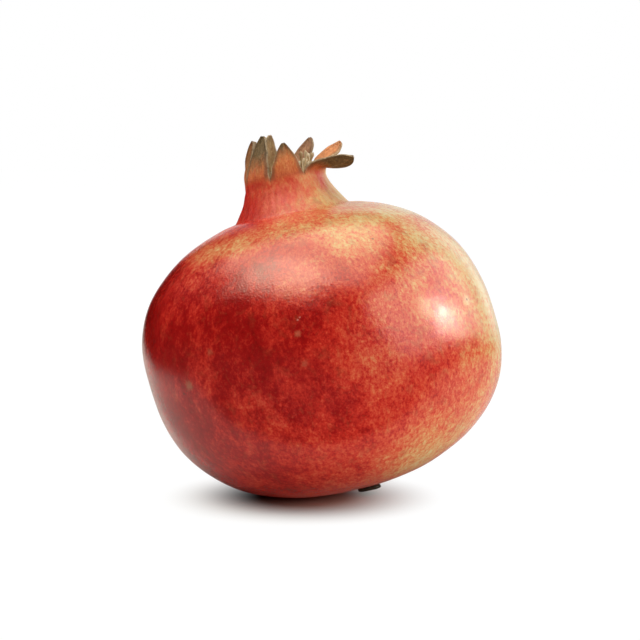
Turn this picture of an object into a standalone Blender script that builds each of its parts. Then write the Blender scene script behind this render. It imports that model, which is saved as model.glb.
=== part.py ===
"""A whole pomegranate at rest: the rind with its crown, the dried stamens and the stem stub.

Metres, +Z up, origin at the centre of the small flat spot that the fruit rests on.
Seen from the front (along +Y) the fruit leans to the left, with its crown at the upper left.
"""
import math
import random

import bmesh
import bpy
from mathutils import Matrix, Vector

# Whole fruit
BODY_RADIUS = 0.0495
BODY_HALF_HEIGHT = 0.0400
ROUNDNESS = 2.33
LEAN_LEFT = math.radians(12.0)
LEAN_BACK = math.radians(4.0)
CENTRE_X = 0.0085
CENTRE_Y = -0.0028
CENTRE_HEIGHT = 0.0401
BODY_SKEW = 0.0009
LOBES = 6
LOBE_DEPTH = 0.009
LOBE_PHASE = math.radians(10.0)
LOBES_BELOW = 0.0388

# Neck, rim and cup of the crown
NECK_FOOT_RADIUS = 0.0162
RIM_RADIUS = 0.0115
RIM_HEIGHT = 0.0476
NECK_CURVE = 1.65
WALL = 0.0013
CUP_FLOOR = 0.0380
CUP_CORNER = 0.0030
CUP_TAPER = 0.0016
CORNER_STEPS = 3
WELD = 0.00001
SMOOTH_BELOW = math.radians(50.0)

# Mesh fineness
SEPALS = 7
COLUMNS_PER_SEPAL = 6
COLUMNS = SEPALS * COLUMNS_PER_SEPAL
BODY_ROWS = 20
NECK_ROWS = 6
SEPAL_LEVELS = (0.16, 0.34, 0.52, 0.70, 0.86, 1.0)
CENTRE_LINE_STEPS = 40

# Sepal blades
SECTOR = 2.0 * math.pi / SEPALS
FIRST_SEPAL = math.radians(6.0)
TIP_HALF_WIDTH = 0.00045
TIP_THICKNESS = 0.0009
SWAY_POWER = 1.5
WIDTH_REACHED = 0.4
HOLLOW_REACHED = 0.6
TAPER_POWER = 0.9

# Stamens
GAP = 0.0003
PAD_RADIUS = 0.0074
PAD_THICKNESS = 0.0012
PAD_LIP = 0.0022
PAD_LIP_WIDTH = 0.0006
PAD_STEPS = 18
FILAMENTS = 26
FILAMENT_RADIUS = 0.00040
ROOTS_RADIUS = 0.0060
FILAMENT_HEIGHT = 0.0076
HEIGHT_SPREAD = 0.0014
EAST_HEIGHT = 0.0092
REACH = 0.0008
EAST_REACH = 0.0026
SWING = 0.35
HOOK = 0.0008
ROOT_DEPTH = 0.0005
SEED = 11

# How far along a filament each of its points lies, and how thick it is there
FILAMENT_STATIONS = ((0.0, 1.25), (0.35, 1.0), (0.68, 0.9), (0.86, 0.95), (0.93, 1.7), (1.0, 1.2))

# Stem stub
STUB_PLACE = (0.0052, -0.0030)
STUB_HALF_LENGTH = 0.0034
STUB_HALF_WIDTH = 0.0027
STUB_THICKNESS = 0.0012
STUB_SIDES = 16
STUB_FLARE = 0.88
STUB_BEVEL = 0.0003

# Depth of the block that trims the resting spot
TRIM_SIZE = 0.08

# One row for each sepal, in order round the rim from the front one towards +X: length,
# lean outwards, how soon it leans, curl of the tip, sway sideways, width, bluntness, hollow radius, twist
SEPAL_SHAPES = (
    (0.0104, -8, 1.00, 0, 0.06, 0.96, 1.6, 0.0120, 0),
    (0.0134, 96, 0.30, -26, 0.10, 0.66, 4.0, 0.0050, 58),
    (0.0116, 58, 0.50, 0, 0.02, 0.76, 2.6, 0.0080, -38),
    (0.0114, 18, 0.60, 10, -0.42, 0.62, 3.4, 0.0100, 0),
    (0.0144, -22, 0.60, 0, -0.16, 0.84, 2.4, 0.0100, 0),
    (0.0138, -28, 0.50, 0, 0.06, 0.84, 1.7, 0.0090, -45),
    (0.0144, -22, 0.30, -10, 0.09, 0.88, 2.1, 0.0090, 0),
)


def clear_scene():
    """Remove every object that is in the scene."""
    for thing in list(bpy.data.objects):
        bpy.data.objects.remove(thing, do_unlink=True)


def new_collection(name):
    """Add a collection to the scene."""
    group = bpy.data.collections.new(name)
    bpy.context.scene.collection.children.link(group)
    return group


def material(name, colour, roughness):
    """Make a plain Principled material."""
    made = bpy.data.materials.new(name)
    made.use_nodes = True
    shader = made.node_tree.nodes["Principled BSDF"]
    shader.inputs["Base Color"].default_value = (*colour, 1.0)
    shader.inputs["Roughness"].default_value = roughness
    shader.inputs["Metallic"].default_value = 0.0
    made.diffuse_color = (*colour, 1.0)
    return made


def add_object(name, mesh, group, parent=None):
    """Put a mesh in the scene as a named object, in its parent's frame."""
    thing = bpy.data.objects.new(name, mesh)
    group.objects.link(thing)
    thing.parent = parent
    return thing


def mesh_from(bm, name):
    """Turn a bmesh into a mesh with its faces pointing out."""
    bmesh.ops.recalc_face_normals(bm, faces=bm.faces)
    mesh = bpy.data.meshes.new(name)
    bm.to_mesh(mesh)
    bm.free()
    return mesh


def smooth_step(t):
    """Ease from 0 to 1."""
    t = min(max(t, 0.0), 1.0)
    return t * t * (3.0 - 2.0 * t)


def azimuth_of(point):
    """Angle round the fruit's axis, from the front (-Y) towards +X."""
    return math.atan2(point.x, -point.y)


def outward(azimuth):
    """Unit vector that points away from the axis at this azimuth."""
    return Vector((math.sin(azimuth), -math.cos(azimuth), 0.0))


def body_point(angle):
    """Radius and height of the body's profile, a rounded superellipse."""
    power = 2.0 / ROUNDNESS
    radius = BODY_RADIUS * abs(math.cos(angle)) ** power
    height = BODY_HALF_HEIGHT * math.copysign(abs(math.sin(angle)) ** power, angle)
    return radius, height


def body_profile():
    """Body profile from the underside up to the foot of the neck."""
    top = math.acos((NECK_FOOT_RADIUS / BODY_RADIUS) ** (ROUNDNESS / 2.0))
    start = -math.pi / 2.0
    angles = [start + (top - start) * row / BODY_ROWS for row in range(BODY_ROWS + 1)]
    points = [body_point(angle) for angle in angles]
    points[0] = (0.0, -BODY_HALF_HEIGHT)
    return points


def neck_profile(foot_height):
    """Hollow curve of the neck, from just above its foot up to the outer edge of the rim."""
    points = []
    for row in range(1, NECK_ROWS + 1):
        rise = row / NECK_ROWS
        radius = RIM_RADIUS + (NECK_FOOT_RADIUS - RIM_RADIUS) * (1.0 - rise) ** NECK_CURVE
        points.append((radius, foot_height + (RIM_HEIGHT - foot_height) * rise))
    return points


def cup_profile():
    """Inside of the cup, from the rim's inner edge down to the middle of its floor."""
    rim = RIM_RADIUS - WALL
    depth = RIM_HEIGHT - CUP_FLOOR
    floor_edge = rim - CUP_TAPER
    points = [
        (rim, RIM_HEIGHT),
        (rim - 0.19 * CUP_TAPER, RIM_HEIGHT - 0.35 * depth),
        (rim - 0.56 * CUP_TAPER, CUP_FLOOR + CUP_CORNER),
    ]
    for step in range(1, CORNER_STEPS + 1):
        turn = step / CORNER_STEPS * math.pi / 2.0
        radius = floor_edge - CUP_CORNER * (1.0 - math.cos(turn))
        points.append((radius, CUP_FLOOR + CUP_CORNER * (1.0 - math.sin(turn))))
    points.append((0.5 * (floor_edge - CUP_CORNER), CUP_FLOOR))
    points.append((0.0, CUP_FLOOR))
    return points


def turned_skin():
    """The whole skin as a turned surface, before the sepals grow from its rim."""
    body = body_profile()
    profile = body + neck_profile(body[-1][1]) + cup_profile()
    bm = bmesh.new()
    verts = [bm.verts.new((0.0, -radius, height)) for radius, height in profile]
    edges = [bm.edges.new(pair) for pair in zip(verts, verts[1:])]
    bmesh.ops.rotate(bm, verts=verts, matrix=turn_about_z(FIRST_SEPAL + SECTOR / 2.0))
    bmesh.ops.spin(bm, geom=verts + edges, axis=(0, 0, 1), cent=(0, 0, 0), angle=2.0 * math.pi,
                   steps=COLUMNS, use_merge=True)
    bmesh.ops.remove_doubles(bm, verts=bm.verts, dist=WELD)
    return bm


def turn_about_z(angle):
    """Rotation about the fruit's axis."""
    return Matrix.Rotation(angle, 3, "Z")


def centre_line(length, lean, knee, curl, part):
    """Offset from the rim along a sepal's middle: outwards, upwards and the lean there."""
    out = 0.0
    up = 0.0
    angle = 0.0
    step = part / CENTRE_LINE_STEPS
    for index in range(CENTRE_LINE_STEPS):
        along = (index + 0.5) * step
        angle = math.radians(lean * smooth_step(along / knee) + curl * along ** 3)
        out += length * step * math.sin(angle)
        up += length * step * math.cos(angle)
    return out, up, angle


def sepal_point(index, across, along, side):
    """A point of sepal number index.

    across runs -1 to 1 over its width, along 0 to 1 from the rim to the tip,
    and side is 1 on its outer face and -1 on its inner face.
    """
    length, lean, knee, curl, sway, width, bluntness, hollow, twist = SEPAL_SHAPES[index]
    azimuth = FIRST_SEPAL + index * SECTOR
    radial = outward(azimuth)
    tangent = Vector((math.cos(azimuth), math.sin(azimuth), 0.0))
    up = Vector((0.0, 0.0, 1.0))
    out, rise, angle = centre_line(length, lean, knee, curl, along)
    middle = RIM_RADIUS - WALL / 2.0
    aside = sway * length * along ** SWAY_POWER
    centre = radial * (middle + out) + up * (RIM_HEIGHT + rise) + tangent * aside
    normal = radial * math.cos(angle) - up * math.sin(angle)
    rolled = math.radians(twist) * along
    normal, tangent = (normal * math.cos(rolled) - tangent * math.sin(rolled),
                       tangent * math.cos(rolled) + normal * math.sin(rolled))
    spread = 1.0 + (width - 1.0) * smooth_step(along / WIDTH_REACHED)
    taper = max(1.0 - along ** bluntness, 0.0) ** TAPER_POWER
    half_width = middle * SECTOR / 2.0 * spread * taper + TIP_HALF_WIDTH * along
    bend_radius = middle + (hollow - middle) * smooth_step(along / HOLLOW_REACHED)
    turn = across * half_width / bend_radius
    thickness = WALL + (TIP_THICKNESS - WALL) * along
    face = normal * math.cos(turn) + tangent * math.sin(turn)
    spine = centre - normal * bend_radius
    return spine + face * (bend_radius + side * thickness / 2.0)


def grow_sepals(bm):
    """Extrude each sector of the rim upwards, level by level, into a sepal."""
    across_layer = bm.verts.layers.float.new("across")
    side_layer = bm.verts.layers.float.new("side")
    rim = [face for face in bm.faces if min(vert.co.z for vert in face.verts) > RIM_HEIGHT - WELD]
    middle = RIM_RADIUS - WALL / 2.0
    sectors = [[] for _ in range(SEPALS)]
    for face in rim:
        away = (azimuth_of(face.calc_center_median()) - FIRST_SEPAL) / SECTOR
        sectors[round(away) % SEPALS].append(face)
    for index, faces in enumerate(sectors):
        azimuth = FIRST_SEPAL + index * SECTOR
        for level, along in enumerate(SEPAL_LEVELS):
            edges = {edge for face in faces for edge in face.edges}
            verts = {vert for face in faces for vert in face.verts}
            grown = bmesh.ops.extrude_face_region(bm, geom=faces + list(edges) + list(verts))["geom"]
            faces = [part for part in grown if isinstance(part, bmesh.types.BMFace)]
            for vert in [part for part in grown if isinstance(part, bmesh.types.BMVert)]:
                if level == 0:
                    away = math.remainder(azimuth_of(vert.co) - azimuth, 2.0 * math.pi)
                    vert[across_layer] = away / (SECTOR / 2.0)
                    vert[side_layer] = math.copysign(1.0, vert.co.xy.length - middle)
                vert.co = sepal_point(index, vert[across_layer], along, vert[side_layer])


def shape_body(bm):
    """Give the turned body, below the neck, its broad lobes and its slight sideways skew."""
    for vert in bm.verts:
        if vert.co.z > LOBES_BELOW or vert.co.xy.length < WELD:
            continue
        fullness = (vert.co.xy.length / BODY_RADIUS) ** 2
        lobe = LOBE_DEPTH * fullness * math.cos(LOBES * (azimuth_of(vert.co) - LOBE_PHASE))
        vert.co.x *= 1.0 + lobe
        vert.co.y *= 1.0 + lobe
        vert.co.x -= BODY_SKEW * math.sin(math.pi * vert.co.z / BODY_HALF_HEIGHT) * fullness


def make_fruit(group, cutters, axis):
    """Body, neck and sepals as one solid, trimmed flat where it rests."""
    bm = turned_skin()
    grow_sepals(bm)
    shape_body(bm)
    mesh = mesh_from(bm, "fruit")
    mesh.shade_smooth()
    mesh.set_sharp_from_angle(angle=SMOOTH_BELOW)
    fruit = add_object("fruit", mesh, group, axis)
    bpy.ops.mesh.primitive_cube_add(size=TRIM_SIZE, location=(0.0, 0.0, -TRIM_SIZE / 2.0))
    trim = bpy.context.object
    trim.name = "rest_trim"
    trim.hide_render = True
    trim.display_type = "WIRE"
    for home in list(trim.users_collection):
        home.objects.unlink(trim)
    cutters.objects.link(trim)
    cut = fruit.modifiers.new("rest", "BOOLEAN")
    cut.operation = "DIFFERENCE"
    cut.object = trim
    return fruit


def pad_mesh():
    """Turned disc that lines the floor of the cup and carries the stamens."""
    bottom = CUP_FLOOR + GAP
    low_edge = PAD_RADIUS - PAD_LIP
    profile = (
        (0.0, bottom),
        (low_edge, bottom),
        (PAD_RADIUS, bottom + PAD_LIP),
        (PAD_RADIUS - PAD_LIP_WIDTH, bottom + PAD_LIP + 0.6 * PAD_THICKNESS),
        (low_edge - PAD_LIP_WIDTH, bottom + PAD_THICKNESS),
        (0.0, bottom + PAD_THICKNESS),
    )
    bm = bmesh.new()
    verts = [bm.verts.new((radius, 0.0, height)) for radius, height in profile]
    edges = [bm.edges.new(pair) for pair in zip(verts, verts[1:])]
    bmesh.ops.spin(bm, geom=verts + edges, axis=(0, 0, 1), cent=(0, 0, 0), angle=2.0 * math.pi,
                   steps=PAD_STEPS, use_merge=True)
    bmesh.ops.remove_doubles(bm, verts=bm.verts, dist=WELD)
    return mesh_from(bm, "stamens")


def filament_route(index, draw):
    """Points from the root to the end of one filament, each with its radius factor."""
    golden = math.pi * (3.0 - math.sqrt(5.0))
    share = (index + 0.5) / FILAMENTS
    azimuth = index * golden
    eastward = max(0.0, math.sin(azimuth)) * share
    root = ROOTS_RADIUS * math.sqrt(share)
    height = FILAMENT_HEIGHT + EAST_HEIGHT * eastward + draw.uniform(0.0, HEIGHT_SPREAD)
    reach = root + REACH + EAST_REACH * eastward
    swing = draw.uniform(-SWING, SWING)
    hook = draw.uniform(-HOOK, HOOK)
    low = CUP_FLOOR + GAP + ROOT_DEPTH
    route = []
    for part, radius in FILAMENT_STATIONS:
        turn = azimuth + swing * part ** 2
        away = root + (reach - root) * part ** 2 + hook * math.sin(part * math.pi * 1.5)
        route.append((outward(turn) * away + Vector((0.0, 0.0, low + height * part)), radius))
    return route


def filament_mesh(index, draw):
    """One filament with its swollen anther, as a closed tube."""
    curve = bpy.data.curves.new("filament", "CURVE")
    curve.dimensions = "3D"
    curve.bevel_depth = FILAMENT_RADIUS
    curve.bevel_resolution = 0
    curve.use_fill_caps = True
    spline = curve.splines.new("POLY")
    route = filament_route(index, draw)
    spline.points.add(len(route) - 1)
    for point, (place, radius) in zip(spline.points, route):
        point.co = (*place, 1.0)
        point.radius = radius
    return curve


def weld_caps(mesh):
    """Join a curve's loose caps to its tube."""
    bm = bmesh.new()
    bm.from_mesh(mesh)
    bmesh.ops.remove_doubles(bm, verts=bm.verts, dist=0.000001)
    bmesh.ops.recalc_face_normals(bm, faces=bm.faces)
    bm.to_mesh(mesh)
    bm.free()


def applied_mesh(thing):
    """The object's mesh with its modifiers applied."""
    bpy.context.view_layer.update()
    graph = bpy.context.evaluated_depsgraph_get()
    return bpy.data.meshes.new_from_object(thing.evaluated_get(graph))


def make_stamens(group, axis):
    """The dried tuft: a pad and its filaments, joined into one solid."""
    draw = random.Random(SEED)
    bundle = new_collection("filaments")
    for index in range(FILAMENTS):
        wire = add_object("filament_curve", filament_mesh(index, draw), bundle, axis)
        mesh = applied_mesh(wire)
        bpy.data.objects.remove(wire, do_unlink=True)
        weld_caps(mesh)
        add_object("filament", mesh, bundle, axis)
    pad = add_object("stamens", pad_mesh(), group, axis)
    union = pad.modifiers.new("union", "BOOLEAN")
    union.operation = "UNION"
    union.operand_type = "COLLECTION"
    union.collection = bundle
    joined = applied_mesh(pad)
    pad.modifiers.remove(union)
    pad.data = joined
    for wire in list(bundle.objects):
        bpy.data.objects.remove(wire, do_unlink=True)
    bpy.data.collections.remove(bundle)
    return pad


def make_stub(group, axis):
    """Short woody end of the stem, just clear of the rind."""
    x, y = STUB_PLACE
    distance = math.hypot(x, y) / BODY_RADIUS
    surface = BODY_HALF_HEIGHT * (1.0 - distance ** ROUNDNESS) ** (1.0 / ROUNDNESS)
    bm = bmesh.new()
    bmesh.ops.create_cone(bm, cap_ends=True, segments=STUB_SIDES, radius1=STUB_FLARE, radius2=1.0,
                          depth=STUB_THICKNESS)
    bmesh.ops.scale(bm, vec=(STUB_HALF_LENGTH, STUB_HALF_WIDTH, 1.0), verts=bm.verts)
    mesh = mesh_from(bm, "stem_stub")
    mesh.shade_smooth()
    mesh.set_sharp_from_angle(angle=SMOOTH_BELOW)
    stub = add_object("stem_stub", mesh, group, axis)
    stub.location = (x, y, -surface - GAP - STUB_THICKNESS / 2.0)
    bevel = stub.modifiers.new("worn edge", "BEVEL")
    bevel.width = STUB_BEVEL
    bevel.segments = 2
    return stub


def main():
    """Build the fruit."""
    clear_scene()
    group = new_collection("pomegranate")
    cutters = new_collection("cutters")
    axis = bpy.data.objects.new("fruit_axis", None)
    group.objects.link(axis)
    axis.location = (CENTRE_X, CENTRE_Y, CENTRE_HEIGHT)
    axis.rotation_euler = (-LEAN_BACK, -LEAN_LEFT, 0.0)
    make_fruit(group, cutters, axis).data.materials.append(material("rind", (0.55, 0.06, 0.04), 0.38))
    make_stamens(group, axis).data.materials.append(material("dried_stamens", (0.55, 0.42, 0.24), 0.85))
    make_stub(group, axis).data.materials.append(material("dark_wood", (0.05, 0.04, 0.02), 0.8))
    bpy.context.view_layer.update()


main()
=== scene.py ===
"""Looks of the pomegranate: its skin and crown, the dried stamens and the stem stub, on a pale floor.

Metres, +Z up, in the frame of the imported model. Lengths inside the materials are millimetres.
"""
import math
import random

import bmesh
import bpy
import numpy as np
from mathutils import Euler, Matrix, Vector, noise


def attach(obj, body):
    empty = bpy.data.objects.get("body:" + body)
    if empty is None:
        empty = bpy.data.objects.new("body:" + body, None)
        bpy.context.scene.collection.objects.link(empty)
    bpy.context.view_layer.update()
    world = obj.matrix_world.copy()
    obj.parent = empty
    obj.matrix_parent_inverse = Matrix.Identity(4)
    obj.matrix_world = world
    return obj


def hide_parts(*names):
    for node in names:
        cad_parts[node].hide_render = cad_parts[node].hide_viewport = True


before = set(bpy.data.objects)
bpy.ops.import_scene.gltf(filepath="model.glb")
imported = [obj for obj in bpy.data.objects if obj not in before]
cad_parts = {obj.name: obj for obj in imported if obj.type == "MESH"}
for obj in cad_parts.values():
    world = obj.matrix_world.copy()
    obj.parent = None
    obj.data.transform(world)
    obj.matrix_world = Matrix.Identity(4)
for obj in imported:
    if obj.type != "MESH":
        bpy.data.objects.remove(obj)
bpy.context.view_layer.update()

# Whole fruit
BODY_RADIUS = 0.0495
BODY_HALF_HEIGHT = 0.0400
ROUNDNESS = 2.33
LEAN_LEFT = math.radians(12.0)
LEAN_BACK = math.radians(4.0)
CENTRE = Vector((0.0085, -0.0028, 0.0401))
BODY_SKEW = 0.0009
LOBES = 6
LOBE_DEPTH = 0.009
LOBE_PHASE = math.radians(10.0)
FRUIT_AXIS = Matrix.Translation(CENTRE) @ Euler((-LEAN_BACK, -LEAN_LEFT, 0.0)).to_matrix().to_4x4()

# Neck, rim and cup of the crown
NECK_FOOT_RADIUS = 0.0162
RIM_RADIUS = 0.0115
RIM_HEIGHT = 0.0476
NECK_CURVE = 1.65
WALL = 0.0013
CUP_FLOOR = 0.0380
CUP_CORNER = 0.0030
CUP_TAPER = 0.0016

# Mesh fineness
SEPALS = 7
COLUMNS_PER_SEPAL = 36
COLUMNS = SEPALS * COLUMNS_PER_SEPAL
BODY_ROWS = 84
NECK_ROWS = 24
CUP_ROWS = 8
RIM_STRIPS = 3
SEPAL_LEVELS = 22
CENTRE_LINE_STEPS = 40

# Sepal blades
SECTOR = 2.0 * math.pi / SEPALS
FIRST_SEPAL = math.radians(6.0)
TIP_HALF_WIDTH = 0.00045
TIP_THICKNESS = 0.0009
SWAY_POWER = 1.5
WIDTH_REACHED = 0.4
HOLLOW_REACHED = 0.6
TAPER_POWER = 0.9

# One row for each sepal, in order round the rim from the front one towards +X: length,
# lean outwards, how soon it leans, curl of the tip, sway sideways, width, bluntness, hollow radius, twist
SEPAL_SHAPES = (
    (0.0104, -8, 1.00, 0, 0.06, 0.96, 1.6, 0.0120, 0),
    (0.0134, 96, 0.30, -26, 0.10, 0.66, 4.0, 0.0050, 58),
    (0.0116, 58, 0.50, 0, 0.02, 0.76, 2.6, 0.0080, -38),
    (0.0114, 18, 0.60, 10, -0.42, 0.62, 3.4, 0.0100, 0),
    (0.0144, -22, 0.60, 0, -0.16, 0.84, 2.4, 0.0100, 0),
    (0.0138, -28, 0.50, 0, 0.06, 0.84, 1.7, 0.0090, -45),
    (0.0144, -22, 0.30, -10, 0.09, 0.88, 2.1, 0.0090, 0),
)

# How far each sepal's two margins curl back, on its low and its high side round the rim
MARGIN_CURLS = (
    (0.0001, 0.0002),
    (0.0004, 0.0004),
    (0.0003, 0.0003),
    (0.0002, 0.0002),
    (0.0004, 0.0003),
    (0.0007, 0.0012),
    (0.0006, 0.0002),
)

# How dark each sepal has dried outside, how far up that starts, and how warm its inner face is
SEPAL_LOOKS = (
    (0.95, 0.48, 0.60),
    (1.00, 0.00, 0.40),
    (0.60, 0.60, 1.00),
    (0.80, 0.50, 0.55),
    (0.70, 0.40, 0.12),
    (0.72, 0.02, 0.30),
    (1.00, 0.16, 0.30),
)

# Places on the skin that are more golden or more red: azimuth, latitude, spread in degrees, amount
GOLD_REGIONS = (
    (66, 24, 27, 0.52),
    (50, 33, 14, 0.10),
    (-14, 44, 9, 0.07),
    (-25, 42, 7, 0.12),
    (104, 6, 34, 0.50),
    (30, 44, 15, 0.26),
    (20, 36, 8, 0.34),
    (30, 2, 28, 0.24),
    (33, -8, 8, -0.08),
    (14, -2, 12, 0.06),
    (2, 27, 10, 0.24),
    (-12, 23, 9, 0.10),
    (-16, 50, 12, 0.14),
    (4, 47, 8, 0.08),
    (34, 18, 12, 0.12),
    (76, -8, 20, 0.30),
    (50, -44, 22, 0.52),
    (10, -62, 40, 0.23),
    (150, 30, 30, 0.45),
    (160, -22, 34, 0.30),
    (-150, 34, 26, 0.25),
    (-45, 40, 13, 0.34),
    (-40, 54, 9, -0.08),
    (80, 52, 16, 0.15),
    (-34, 4, 9, 0.08),
    (-24, -10, 10, 0.12),
    (-12, -24, 9, 0.10),
    (46, 13, 7, -0.16),
    (36, 30, 5, -0.16),
    (52, 20, 4, -0.16),
    (57, 78, 4, -0.40),
    (8, 78, 4, -0.22),
)


def smooth_step(t):
    """Ease from 0 to 1."""
    t = min(max(t, 0.0), 1.0)
    return t * t * (3.0 - 2.0 * t)


def bell(x, width):
    """1 at x = 0, falling off smoothly over about the width."""
    return math.exp(-(x / width) ** 2)


def azimuth_of(point):
    """Angle round the fruit's axis, from the front (-Y) towards +X."""
    return math.atan2(point.x, -point.y)


def outward(azimuth):
    """Unit vector that points away from the axis at this azimuth."""
    return Vector((math.sin(azimuth), -math.cos(azimuth), 0.0))


def direction(azimuth, elevation):
    """Unit vector at this azimuth and elevation, in degrees."""
    rise = math.radians(elevation)
    return outward(math.radians(azimuth)) * math.cos(rise) + Vector((0.0, 0.0, math.sin(rise)))


def body_point(angle):
    """Radius and height of the body's profile, a rounded superellipse."""
    power = 2.0 / ROUNDNESS
    radius = BODY_RADIUS * abs(math.cos(angle)) ** power
    height = BODY_HALF_HEIGHT * math.copysign(abs(math.sin(angle)) ** power, angle)
    return radius, height


def body_profile():
    """Body profile from the underside up to the foot of the neck."""
    top = math.acos((NECK_FOOT_RADIUS / BODY_RADIUS) ** (ROUNDNESS / 2.0))
    start = -math.pi / 2.0
    angles = [start + (top - start) * row / BODY_ROWS for row in range(BODY_ROWS + 1)]
    points = [body_point(angle) for angle in angles]
    points[0] = (0.0, -BODY_HALF_HEIGHT)
    return points


FOOT_HEIGHT = body_profile()[-1][1]


def neck_profile():
    """Hollow curve of the neck, from just above its foot up to the outer edge of the rim."""
    points = []
    for row in range(1, NECK_ROWS + 1):
        rise = row / NECK_ROWS
        radius = RIM_RADIUS + (NECK_FOOT_RADIUS - RIM_RADIUS) * (1.0 - rise) ** NECK_CURVE
        points.append((radius, FOOT_HEIGHT + (RIM_HEIGHT - FOOT_HEIGHT) * rise))
    return points


def cup_profile():
    """Rim and inside of the cup, down to the middle of its floor."""
    rim = [(RIM_RADIUS - WALL * strip / RIM_STRIPS, RIM_HEIGHT) for strip in range(1, RIM_STRIPS + 1)]
    inner = RIM_RADIUS - WALL
    floor_edge = inner - CUP_TAPER
    corner_top = CUP_FLOOR + CUP_CORNER
    wall = []
    for row in range(1, CUP_ROWS + 1):
        part = row / CUP_ROWS
        wall.append((inner - 0.9 * CUP_TAPER * part ** 2, RIM_HEIGHT + (corner_top - RIM_HEIGHT) * part))
    bend = []
    for row in range(1, CUP_ROWS + 1):
        turn = row / CUP_ROWS * math.pi / 2.0
        radius = floor_edge - CUP_CORNER * (1.0 - math.cos(turn))
        bend.append((radius, CUP_FLOOR + CUP_CORNER * (1.0 - math.sin(turn))))
    last = floor_edge - CUP_CORNER
    floor = [(last * (1.0 - row / CUP_ROWS), CUP_FLOOR) for row in range(1, CUP_ROWS + 1)]
    return rim + wall + bend + floor


def turned_skin():
    """The whole skin as a turned surface, before the sepals grow from its rim."""
    profile = body_profile() + neck_profile() + cup_profile()
    bm = bmesh.new()
    verts = [bm.verts.new((0.0, -radius, height)) for radius, height in profile]
    edges = [bm.edges.new(pair) for pair in zip(verts, verts[1:])]
    turn = Matrix.Rotation(FIRST_SEPAL + SECTOR / 2.0, 3, "Z")
    bmesh.ops.rotate(bm, verts=verts, matrix=turn)
    bmesh.ops.spin(bm, geom=verts + edges, axis=(0, 0, 1), cent=(0, 0, 0), angle=2.0 * math.pi,
                   steps=COLUMNS, use_merge=True)
    bmesh.ops.remove_doubles(bm, verts=bm.verts, dist=0.000002)
    bmesh.ops.recalc_face_normals(bm, faces=bm.faces)
    return bm


def centre_line(length, lean, knee, curl, part):
    """Offset from the rim along a sepal's middle: outwards, upwards and the lean there."""
    out = 0.0
    up = 0.0
    angle = 0.0
    step = part / CENTRE_LINE_STEPS
    for index in range(CENTRE_LINE_STEPS):
        along = (index + 0.5) * step
        angle = math.radians(lean * smooth_step(along / knee) + curl * along ** 3)
        out += length * step * math.sin(angle)
        up += length * step * math.cos(angle)
    return out, up, angle


def sepal_frame(index, along):
    """A sepal's middle point, normal, sideways direction, half width, bend radius and thickness."""
    length, lean, knee, curl, sway, width, bluntness, hollow, twist = SEPAL_SHAPES[index]
    azimuth = FIRST_SEPAL + index * SECTOR
    radial = outward(azimuth)
    tangent = Vector((math.cos(azimuth), math.sin(azimuth), 0.0))
    up = Vector((0.0, 0.0, 1.0))
    out, rise, angle = centre_line(length, lean, knee, curl, along)
    middle = RIM_RADIUS - WALL / 2.0
    aside = tangent * (sway * length * along ** SWAY_POWER)
    centre = radial * (middle + out) + up * (RIM_HEIGHT + rise) + aside
    normal = radial * math.cos(angle) - up * math.sin(angle)
    rolled = math.radians(twist) * along
    normal, tangent = (normal * math.cos(rolled) - tangent * math.sin(rolled),
                       tangent * math.cos(rolled) + normal * math.sin(rolled))
    spread = 1.0 + (width - 1.0) * smooth_step(along / WIDTH_REACHED)
    taper = max(1.0 - along ** bluntness, 0.0) ** TAPER_POWER
    half_width = middle * SECTOR / 2.0 * spread * taper + TIP_HALF_WIDTH * along
    bend_radius = middle + (hollow - middle) * smooth_step(along / HOLLOW_REACHED)
    thickness = WALL + (TIP_THICKNESS - WALL) * along
    return centre, normal, tangent, half_width, bend_radius, thickness


RELIEF_REACHED = 0.25
MARGIN_WAVE = 0.13
MARGIN_PACE = 5.5
MARGIN_START = 0.45
FACE_WAVE = 0.00032
RIB_DEPTH = 0.00007
RIBS = 9.0
EDGE_SHARPNESS = 6.0
EDGE_LEFT = 0.34


def sepal_point(index, across, along, side, made):
    """A point of sepal number index, with its waves, ribs and curled margins.

    across runs -1 to 1 over its width, along 0 to 1 from the rim to the tip,
    and side is 1 on its outer face and -1 on its inner face. made is sepal_frame there.
    """
    centre, normal, tangent, half_width, bend_radius, thickness = made
    grown = smooth_step(along / RELIEF_REACHED)
    margin = abs(across)
    wave = noise.noise(Vector((index * 7.3 + math.copysign(3.1, across), along * MARGIN_PACE, 0.4)))
    half_width *= 1.0 + MARGIN_WAVE * wave * grown
    turn = across * half_width / bend_radius
    face = normal * math.cos(turn) + tangent * math.sin(turn)
    rounded = EDGE_LEFT + (1.0 - EDGE_LEFT) * math.sqrt(max(0.0, 1.0 - margin ** EDGE_SHARPNESS))
    thickness *= 1.0 + (rounded - 1.0) * grown
    low, high = MARGIN_CURLS[index]
    past_start = max(margin - MARGIN_START, 0.0) / (1.0 - MARGIN_START)
    curl = (high if across > 0.0 else low) * past_start ** 2
    ripple = noise.noise(Vector((across * 1.6 + index * 4.7, along * 3.0, 7.7)))
    rib_phase = 2.0 * noise.noise(Vector((across * 2.0, along * 2.0, index * 3.3)))
    rib = math.cos(across * RIBS + rib_phase) * RIB_DEPTH * grown * (1.0 - 0.5 * along)
    curled = curl * grown * math.sin(math.pi * min(along * 1.25, 1.0) * 0.5)
    lift = curled + FACE_WAVE * ripple * grown
    spine = centre - normal * bend_radius
    return spine + face * (bend_radius + side * (thickness / 2.0 + rib) + lift)


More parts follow.
